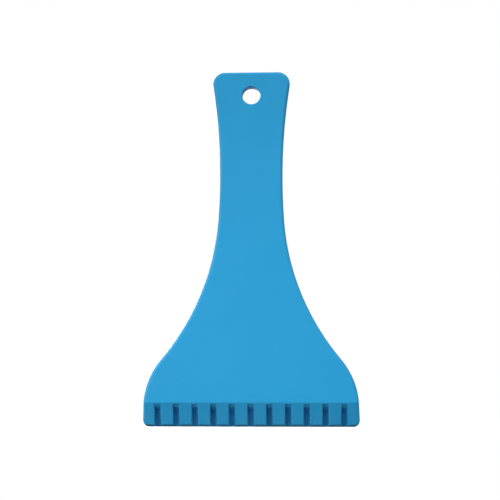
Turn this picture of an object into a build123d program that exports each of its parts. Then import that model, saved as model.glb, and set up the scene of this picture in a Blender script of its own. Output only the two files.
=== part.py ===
"""Windshield ice scraper: one flat moulding with a bevelled, grooved blade and a hanging hole.

The scraper hangs upright. X runs across the blade, Z runs from the blade's lip up the handle,
and the grooved front faces -Y. The origin is the middle of the lip, at the bottom of the
bounding box. All sizes are millimetres.
"""
from build123d import *
import os
from math import asin, atan2, cos, degrees, radians, sin, tan

# Overall size: the plate thins from the blade up to the head
height = 180.0
blade_thickness = 7.0
head_thickness = 4.4

# Outline: tangent arcs from the narrowest point of the grip, up to the head and down to the blade
grip_half_width = 15.8
grip_height = 124.7
grip_radius = 310.0
grip_turn = 4.2
flare_radius = 122.3
flare_turn = 35.5
shoulder_radius = 36.7
band_lean = 3.0
head_corner_radius = 6.1
blade_corner_radius = 3.1

# Blade bevel, and the steep lip face under it, seen from the side
bevel_height = 11.8
bevel_break_radius = 2.0
lip_thickness = 3.3
lip_face_height = 1.2
lip_face_depth = 1.5

# Grooves that break up hard ice: drafted channels, wider at the lip, that ramp out at the upper end
groove_count = 11
groove_pitch = 9.17
groove_top = 11.0
groove_top_width = 3.0
groove_lip_width = 3.4
groove_corner_radius = 0.7
groove_draft = 3.0
groove_floor_at_lip = 0.7
groove_floor_slope = 16.0
groove_ramp_foot = 8.0
groove_ramp_top = 9.8
groove_brow_depth = 0.35
groove_brow_slope = 30.0
groove_ramp_radius = 1.0
groove_floor_radius = 0.35
groove_mouth_radius = 0.45
groove_mouth_lift = 0.01
groove_overrun = 2.0
mouth_slab_width = 8.2
mouth_slab_height = 33.0

# Edges
front_edge_radius = 1.4
back_edge_radius = 0.4

# Hanging hole
hole_height = 167.5
hole_radius = 4.6
hole_rim_radius = 0.4

# Moulding marks on the back: ejector pin circles, and a gate stub sunk in a shallow dish
ejector_radius = 2.5
ejector_depth = 0.15
grip_ejector_heights = (108.0, 148.0)
blade_ejector_height = 34.0
blade_ejector_spacing = 56.0
gate_height = 72.0
gate_dish_radius = 4.0
gate_dish_depth = 0.4
gate_stub_radius = 1.2
gate_stub_length = 0.25

# Y part of a face's normal: above the first it faces the back, below the second it is a side wall
back_facing = 0.5
edge_on = 0.01

# Places worked out from the sizes above
back_y = blade_thickness / 2
front_y = back_y - blade_thickness
head_front_y = back_y - head_thickness
lip_front_y = back_y - lip_thickness
lip_face_y = lip_front_y + (front_y - lip_front_y) * lip_face_height / bevel_height
shoulder_turn = grip_turn + flare_turn - band_lean
head_turn = degrees(asin((height - grip_height) / grip_radius))
floor_rise = tan(radians(groove_floor_slope))
floor_lip_y = back_y - groove_floor_at_lip
ramp_foot_y = floor_lip_y - groove_ramp_foot * floor_rise
brow_rise = tan(radians(groove_brow_slope))
brow_end_y = lip_front_y + (front_y - lip_front_y) * groove_top / bevel_height + groove_brow_depth
ramp_top_y = brow_end_y + (groove_top - groove_ramp_top) * brow_rise
bevel_angle = atan2(lip_front_y - front_y, bevel_height)
bevel_plane = Plane(
    origin=(0, lip_front_y, 0),
    x_dir=(1, 0, 0),
    z_dir=(0, -cos(bevel_angle), -sin(bevel_angle)),
)
mouth_plane = bevel_plane.offset(groove_mouth_lift)

os.makedirs("parts", exist_ok=True)


# The tool that cuts one groove, with a slab over the bevel that carries the groove's rounded mouth
with BuildPart() as groove_tool:
    with BuildSketch(mouth_plane) as groove_outline:
        with BuildLine():
            Polyline(
                (-groove_lip_width / 2, -groove_overrun),
                (groove_lip_width / 2, -groove_overrun),
                (groove_top_width / 2, groove_top / cos(bevel_angle)),
                (-groove_top_width / 2, groove_top / cos(bevel_angle)),
                close=True,
            )
        make_face()
        fillet(groove_outline.vertices().group_by(Axis.Y)[-1], groove_corner_radius)
    extrude(amount=-blade_thickness, taper=groove_draft)
    with BuildSketch(Plane.YZ) as groove_side:
        with BuildLine():
            Polyline(
                (front_y - blade_thickness, -groove_overrun),
                (floor_lip_y + groove_overrun * floor_rise, -groove_overrun),
                (ramp_foot_y, groove_ramp_foot),
                (ramp_top_y, groove_ramp_top),
                (brow_end_y - blade_thickness * brow_rise, groove_top + blade_thickness),
                (front_y - blade_thickness, groove_top + blade_thickness),
                close=True,
            )
        make_face()
        ramp_ends = groove_side.vertices().sort_by_distance((ramp_foot_y, groove_ramp_foot, 0))[:2]
        fillet(ramp_ends, groove_ramp_radius)
    extrude(amount=groove_lip_width, both=True, mode=Mode.INTERSECT)
    floor_faces = groove_tool.faces().filter_by(lambda face: face.normal_at().Y > back_facing)
    fillet(floor_faces.edges().filter_by(Axis.X, reverse=True), groove_floor_radius)
    with BuildSketch(mouth_plane):
        Rectangle(mouth_slab_width, mouth_slab_height)
    extrude(amount=groove_mouth_radius)
    slab_face = groove_tool.faces().filter_by(lambda face: len(face.inner_wires()) > 0)[0]
    fillet(slab_face.inner_wires()[0].edges(), groove_mouth_radius)

with BuildPart() as scraper_body:
    # Side section, with the bevel's soft upper break
    with BuildSketch(Plane.YZ) as side:
        with BuildLine():
            Polyline(
                (back_y, 0),
                (lip_front_y, 0),
                (front_y, bevel_height),
                (head_front_y, height),
                (back_y, height),
                close=True,
            )
        make_face()
        fillet(side.vertices().sort_by(Axis.X)[0], bevel_break_radius)
    extrude(amount=height, both=True)

    # Front outline
    with BuildSketch(Plane.XZ.offset(-back_y)) as outline:
        with BuildLine():
            head_side = JernArc((grip_half_width, grip_height), (0, 1), grip_radius, -head_turn)
            grip_side = JernArc((grip_half_width, grip_height), (0, -1), grip_radius, grip_turn)
            flare = JernArc(grip_side @ 1, grip_side % 1, flare_radius, flare_turn)
            shoulder = JernArc(flare @ 1, flare % 1, shoulder_radius, -shoulder_turn)
            band_top = shoulder @ 1
            band_side = Line(band_top, (band_top.X + band_top.Y * tan(radians(band_lean)), 0))
            Line(band_side @ 1, (0, 0))
            Line(head_side @ 1, (0, height))
            mirror(about=Plane.YZ)
        make_face()
        fillet(outline.vertices().group_by(Axis.Y)[-1], head_corner_radius)
        fillet(outline.vertices().group_by(Axis.Y)[0], blade_corner_radius)
    extrude(amount=blade_thickness, mode=Mode.INTERSECT)

    # Rounded rims: one soft edge round the front, a sharper one round the back
    back_rim = scraper_body.faces().sort_by(Axis.Y)[-1].edges()
    walls = scraper_body.faces().filter_by(lambda face: abs(face.normal_at().Y) < edge_on)
    front_rim = (walls.edges() - back_rim).filter_by(Axis.Y, reverse=True)
    fillet(front_rim, front_edge_radius)
    back_face = scraper_body.faces().filter_by(Plane.XZ).sort_by(Axis.Y)[-1]
    fillet(back_face.edges(), back_edge_radius)

    # Lip face: the steep flat under the bevel that leads into the ice
    with BuildSketch(Plane.YZ):
        with BuildLine():
            Polyline(
                (lip_face_y, lip_face_height),
                (lip_front_y + lip_face_depth, 0),
                (lip_front_y + lip_face_depth, -lip_thickness),
                (front_y - lip_thickness, -lip_thickness),
                (front_y - lip_thickness, lip_face_height),
                close=True,
            )
        make_face()
    extrude(amount=height, both=True, mode=Mode.SUBTRACT)

    # Hanging hole through the head
    with BuildSketch(Plane.XZ.offset(-back_y)):
        with Locations((0, hole_height)):
            Circle(hole_radius)
    extrude(amount=blade_thickness, mode=Mode.SUBTRACT)
    hole_rims = scraper_body.edges(Select.LAST).filter_by(Axis.Y, reverse=True)
    fillet(hole_rims, hole_rim_radius)

    # Row of grooves down the bevel
    with GridLocations(groove_pitch, 0, groove_count, 1):
        add(groove_tool.part, mode=Mode.SUBTRACT)

    # Moulding marks
    with BuildSketch(Plane.XZ.offset(-back_y)):
        with Locations(*[(0, mark_height) for mark_height in grip_ejector_heights]):
            Circle(ejector_radius)
        with Locations((0, blade_ejector_height)):
            with GridLocations(blade_ejector_spacing, 0, 2, 1):
                Circle(ejector_radius)
    extrude(amount=ejector_depth, mode=Mode.SUBTRACT)
    with BuildSketch(Plane.XZ.offset(-back_y)):
        with Locations((0, gate_height)):
            Circle(gate_dish_radius)
    extrude(amount=gate_dish_depth, mode=Mode.SUBTRACT)
    with BuildSketch(Plane.XZ.offset(gate_dish_depth - back_y)):
        with Locations((0, gate_height)):
            Circle(gate_stub_radius)
    extrude(amount=-gate_stub_length)

scraper_body.part.label = "scraper_body"
export_step(scraper_body.part, "parts/scraper_body.step")
print(scraper_body.part.bounding_box(), scraper_body.part.volume, scraper_body.part.is_valid)
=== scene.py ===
"""Looks of the windshield ice scraper: satin sky-blue moulded plastic on a white studio floor."""

import math

import bpy
from mathutils import Matrix, Vector

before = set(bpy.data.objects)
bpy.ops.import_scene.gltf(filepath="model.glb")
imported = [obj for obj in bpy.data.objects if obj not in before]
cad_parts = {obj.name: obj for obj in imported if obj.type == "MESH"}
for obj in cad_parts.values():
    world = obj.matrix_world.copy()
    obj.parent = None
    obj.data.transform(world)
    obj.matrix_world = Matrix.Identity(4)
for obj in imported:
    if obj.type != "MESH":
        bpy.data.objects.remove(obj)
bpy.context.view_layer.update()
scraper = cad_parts["scraper_body"]
scene = bpy.context.scene

# Camera: low in front of the blade and a little to its right, tilted up to the middle of the scraper
CAMERA_DISTANCE = 0.540
CAMERA_HEIGHT = 0.010
CAMERA_SIDE = -0.0006
CAMERA_AZIMUTH = 2.5
CAMERA_TILT = 8.187
CAMERA_ROLL = 0.08
CAMERA_LENS_MM = 78.22
SENSOR_WIDTH_MM = 36.0
CAMERA_CLIP_START = 0.01

WHITE = (1.0, 1.0, 1.0, 1.0)

# Softboxes: name, place, the point aimed at, side in metres, beam spread in degrees, and watts
SOFTBOXES = (
    ("left_low_softbox", (-0.495, -0.495, 0.10), (0.0, 0.0, -0.02), 0.40, 50.0, 0.40),
    ("left_high_softbox", (-0.600, -0.330, 0.45), (0.0, 0.0, -0.02), 0.45, 45.0, 0.215),
    ("right_softbox", (0.606, -0.350, 0.40), (0.0, 0.0, -0.02), 0.45, 45.0, 0.070),
    ("top_softbox", (0.200, -0.400, 0.68), (0.0, 0.0, -0.02), 0.40, 42.0, 0.500),
    ("back_softbox", (-0.300, 0.650, 0.35), (0.0, 0.0, 0.08), 0.50, 60.0, 0.90),
)

# World: white where it is seen, a pale room where it is mirrored, and dim everywhere else
BACKDROP_STRENGTH = 1.0
REFLECTED_STRENGTH = 0.35
AMBIENT_STRENGTH = 0.05

# Floor: a pale disc that turns to plain white away from the scraper
FLOOR_RADIUS = 4.0
FLOOR_SIDES = 128
FLOOR_COLOUR = (0.80, 0.81, 0.82, 1.0)
FLOOR_GLOW = 0.62
FLOOR_WHITE_FROM = 0.10
FLOOR_WHITE_TO = 0.28

# Plastic: linear colours
BLUE = (0.0190, 0.335, 0.645, 1.0)
DEEP_BLUE = (0.0170, 0.318, 0.625, 1.0)
# Paler blue for wear on the lip and for the paler edges, which are partly wear and partly painted
# highlight
PALE_WORN_AND_HIGHLIGHT_BLUE = (0.0600, 0.400, 0.690, 1.0)
SPECULAR_LEVEL = 0.20
ROUGHNESS = (0.42, 0.52)
WORN_ROUGHNESS = 0.10

# Noise patterns: scale per metre, and how many finer layers each one carries
TONE_SCALE = 26.0
TONE_DETAIL = 2.0
GLOSS_SCALE = 90.0
GLOSS_DETAIL = 4.0
PATCH_DETAIL = 2.0
RIPPLE_SCALE = 55.0
RIPPLE_DETAIL = 1.0
RIPPLE_HEIGHT = 0.00008
GRAIN_SCALE = 3000.0
GRAIN_DETAIL = 2.0
GRAIN_HEIGHT = 0.00006

# Scuffs: narrow across the lip and long up it, gone above the top height
SCUFF_STRETCH = (2400.0, 2400.0, 150.0)
SCUFF_SCALE = 1.0
SCUFF_DETAIL = 3.0
SCUFF_TOP = 0.009
SCUFF_AMOUNT = 0.60

# Edge wear and painted edge highlight: how far inside the plastic an edge is felt, and how strong the
# paler edge is, patch by patch
EDGE_REACH = 0.0012
EDGE_AMOUNT = 0.50
PATCH_LEAST = 0.3

# Parts of a pattern's range that are stretched out to its full effect
WHOLE = (0.0, 1.0)
NOISE_MIDDLE = (0.30, 0.70)
SCUFF_BAND = (0.50, 0.64)
PATCH_BAND = (0.40, 0.60)
FLAT_TO_EDGE = (0.92, 0.50)

# Places of the colour sockets on a Mix node, whose names are shared with its other kinds
MIX_FIRST = 6
MIX_SECOND = 7
MIX_RESULT = 2


def make_camera():
    data = bpy.data.cameras.new("camera")
    data.sensor_width = SENSOR_WIDTH_MM
    data.lens = CAMERA_LENS_MM
    data.clip_start = CAMERA_CLIP_START
    camera = bpy.data.objects.new("camera", data)
    scene.collection.objects.link(camera)
    turn = Matrix.Rotation(math.radians(CAMERA_AZIMUTH), 4, "Z")
    tilt = Matrix.Rotation(math.radians(90.0 + CAMERA_TILT), 4, "X")
    roll = Matrix.Rotation(math.radians(CAMERA_ROLL), 4, "Z")
    place = turn @ Vector((0.0, -CAMERA_DISTANCE, CAMERA_HEIGHT)) + Vector((CAMERA_SIDE, 0.0, 0.0))
    camera.matrix_world = Matrix.Translation(place) @ turn @ tilt @ roll
    scene.camera = camera


def make_softbox(name, place, target, side, spread, watts):
    data = bpy.data.lights.new(name, "AREA")
    data.shape = "SQUARE"
    data.size = side
    data.spread = math.radians(spread)
    data.energy = watts
    light = bpy.data.objects.new(name, data)
    scene.collection.objects.link(light)
    light.location = place
    light.rotation_mode = "QUATERNION"
    light.rotation_quaternion = (Vector(place) - Vector(target)).to_track_quat("Z", "Y")


def add_background(nodes, strength):
    background = nodes.new("ShaderNodeBackground")
    background.inputs["Color"].default_value = WHITE
    background.inputs["Strength"].default_value = strength
    return background.outputs["Background"]


def mix_shaders(tree, factor, first, second):
    mix = tree.nodes.new("ShaderNodeMixShader")
    tree.links.new(factor, mix.inputs["Fac"])
    tree.links.new(first, mix.inputs[1])
    tree.links.new(second, mix.inputs[2])
    return mix.outputs["Shader"]


def make_world():
    """White behind the scraper, a pale room in its reflections, and a little grey light all round."""
    world = bpy.data.worlds.new("studio")
    scene.world = world
    world.use_nodes = True
    tree = world.node_tree
    tree.nodes.clear()
    path = tree.nodes.new("ShaderNodeLightPath")
    ambient = add_background(tree.nodes, AMBIENT_STRENGTH)
    reflected = add_background(tree.nodes, REFLECTED_STRENGTH)
    backdrop = add_background(tree.nodes, BACKDROP_STRENGTH)
    room = mix_shaders(tree, path.outputs["Is Glossy Ray"], ambient, reflected)
    seen = mix_shaders(tree, path.outputs["Is Camera Ray"], room, backdrop)
    output = tree.nodes.new("ShaderNodeOutputWorld")
    tree.links.new(seen, output.inputs["Surface"])


def make_floor():
    """A disc that takes soft light near the scraper and fades to the backdrop's white further out."""
    bpy.ops.mesh.primitive_circle_add(vertices=FLOOR_SIDES, radius=FLOOR_RADIUS, fill_type="NGON")
    floor = bpy.context.active_object
    floor.name = "floor"
    material = bpy.data.materials.new("floor")
    material.use_nodes = True
    tree = material.node_tree
    nodes = tree.nodes
    links = tree.links
    nodes.clear()
    output = nodes.new("ShaderNodeOutputMaterial")
    diffuse = nodes.new("ShaderNodeBsdfDiffuse")
    diffuse.inputs["Color"].default_value = FLOOR_COLOUR
    glow = nodes.new("ShaderNodeEmission")
    glow.inputs["Strength"].default_value = FLOOR_GLOW
    near = nodes.new("ShaderNodeAddShader")
    far = nodes.new("ShaderNodeEmission")
    far.inputs["Strength"].default_value = BACKDROP_STRENGTH
    place = nodes.new("ShaderNodeTexCoord")
    distance = nodes.new("ShaderNodeVectorMath")
    distance.operation = "LENGTH"
    fade = nodes.new("ShaderNodeMapRange")
    fade.interpolation_type = "SMOOTHSTEP"
    fade.inputs["From Min"].default_value = FLOOR_WHITE_FROM
    fade.inputs["From Max"].default_value = FLOOR_WHITE_TO
    links.new(diffuse.outputs["BSDF"], near.inputs[0])
    links.new(glow.outputs["Emission"], near.inputs[1])
    links.new(place.outputs["Object"], distance.inputs[0])
    links.new(distance.outputs["Value"], fade.inputs["Value"])
    blend = mix_shaders(tree, fade.outputs["Result"], near.outputs["Shader"], far.outputs["Emission"])
    links.new(blend, output.inputs["Surface"])
    floor.data.materials.append(material)
    floor.visible_diffuse = False


def add_noise(tree, place, scale, detail):
    noise = tree.nodes.new("ShaderNodeTexNoise")
    noise.inputs["Scale"].default_value = scale
    noise.inputs["Detail"].default_value = detail
    tree.links.new(place, noise.inputs["Vector"])
    return noise.outputs["Fac"]


def map_range(tree, value, source, target):
    """Stretch a value from one (low, high) pair to another."""
    remap = tree.nodes.new("ShaderNodeMapRange")
    for name, limit in zip(("From Min", "From Max", "To Min", "To Max"), source + target):
        remap.inputs[name].default_value = limit
    tree.links.new(value, remap.inputs["Value"])
    return remap.outputs["Result"]


def combine(tree, operation, first, second):
    sums = tree.nodes.new("ShaderNodeMath")
    sums.operation = operation
    tree.links.new(first, sums.inputs[0])
    tree.links.new(second, sums.inputs[1])
    return sums.outputs["Value"]


def mix_colours(tree, factor, first, second):
    """first and second are each a colour or a socket."""
    mix = tree.nodes.new("ShaderNodeMix")
    mix.data_type = "RGBA"
    tree.links.new(factor, mix.inputs["Factor"])
    for place, colour in ((MIX_FIRST, first), (MIX_SECOND, second)):
        if isinstance(colour, tuple):
            mix.inputs[place].default_value = colour
        else:
            tree.links.new(colour, mix.inputs[place])
    return mix.outputs[MIX_RESULT]


def add_bump(tree, height, distance, normal=None):
    bump = tree.nodes.new("ShaderNodeBump")
    bump.inputs["Distance"].default_value = distance
    tree.links.new(height, bump.inputs["Height"])
    if normal:
        tree.links.new(normal, bump.inputs["Normal"])
    return bump.outputs["Normal"]


def make_plastic():
    """Satin moulded plastic: fine grain, slow changes of tone and gloss, light wear on the lip, and
    paler edges that are partly wear and partly painted highlight.
    """
    material = bpy.data.materials.new("scraper_plastic")
    material.use_nodes = True
    tree = material.node_tree
    shader = tree.nodes["Principled BSDF"]
    shader.inputs["Specular IOR Level"].default_value = SPECULAR_LEVEL
    place = tree.nodes.new("ShaderNodeTexCoord").outputs["Object"]

    # Wear and painted highlight: short upright scuffs on the lip, and a paler line on the sharp edges
    # that is partly edge wear and partly painted highlight
    stretch = tree.nodes.new("ShaderNodeMapping")
    stretch.inputs["Scale"].default_value = SCUFF_STRETCH
    tree.links.new(place, stretch.inputs["Vector"])
    streaks = add_noise(tree, stretch.outputs["Vector"], SCUFF_SCALE, SCUFF_DETAIL)
    scuffs = map_range(tree, streaks, SCUFF_BAND, (0.0, SCUFF_AMOUNT))
    height = tree.nodes.new("ShaderNodeSeparateXYZ")
    tree.links.new(place, height.inputs["Vector"])
    near_lip = map_range(tree, height.outputs["Z"], (0.0, SCUFF_TOP), (1.0, 0.0))
    lip_wear = combine(tree, "MULTIPLY", scuffs, near_lip)
    edges = tree.nodes.new("ShaderNodeAmbientOcclusion")
    edges.inside = True
    edges.inputs["Distance"].default_value = EDGE_REACH
    edge_line = map_range(tree, edges.outputs["AO"], FLAT_TO_EDGE, (0.0, EDGE_AMOUNT))
    patches = add_noise(tree, place, GLOSS_SCALE, PATCH_DETAIL)
    patches = map_range(tree, patches, PATCH_BAND, (PATCH_LEAST, 1.0))
    # The pale edge line is partly wear and partly painted highlight, broken up patch by patch
    edge_wear_and_highlight = combine(tree, "MULTIPLY", edge_line, patches)
    wear_and_edge_highlight = combine(tree, "MAXIMUM", lip_wear, edge_wear_and_highlight)

    # Colour: two close blues that drift into each other, paler where worn and along the edges, where the
    # paleness is partly painted highlight
    tone = map_range(tree, add_noise(tree, place, TONE_SCALE, TONE_DETAIL), NOISE_MIDDLE, WHOLE)
    plain = mix_colours(tree, tone, DEEP_BLUE, BLUE)
    tree.links.new(mix_colours(tree, wear_and_edge_highlight, plain, PALE_WORN_AND_HIGHLIGHT_BLUE), shader.inputs["Base Color"])

    # Roughness: uneven gloss, duller where worn
    gloss = map_range(tree, add_noise(tree, place, GLOSS_SCALE, GLOSS_DETAIL), NOISE_MIDDLE, ROUGHNESS)
    worn = map_range(tree, wear_and_edge_highlight, WHOLE, (0.0, WORN_ROUGHNESS))
    tree.links.new(combine(tree, "ADD", gloss, worn), shader.inputs["Roughness"])

    # Relief: a slow ripple from the moulding, with fine grain on top
    ripple = add_bump(tree, add_noise(tree, place, RIPPLE_SCALE, RIPPLE_DETAIL), RIPPLE_HEIGHT)
    grain = add_bump(tree, add_noise(tree, place, GRAIN_SCALE, GRAIN_DETAIL), GRAIN_HEIGHT, ripple)
    tree.links.new(grain, shader.inputs["Normal"])
    return material


def dress(node, material):
    for slot in node.material_slots:
        slot.material = material


make_camera()
make_world()
for softbox in SOFTBOXES:
    make_softbox(*softbox)
make_floor()
dress(scraper, make_plastic())
scene.view_settings.view_transform = "Standard"
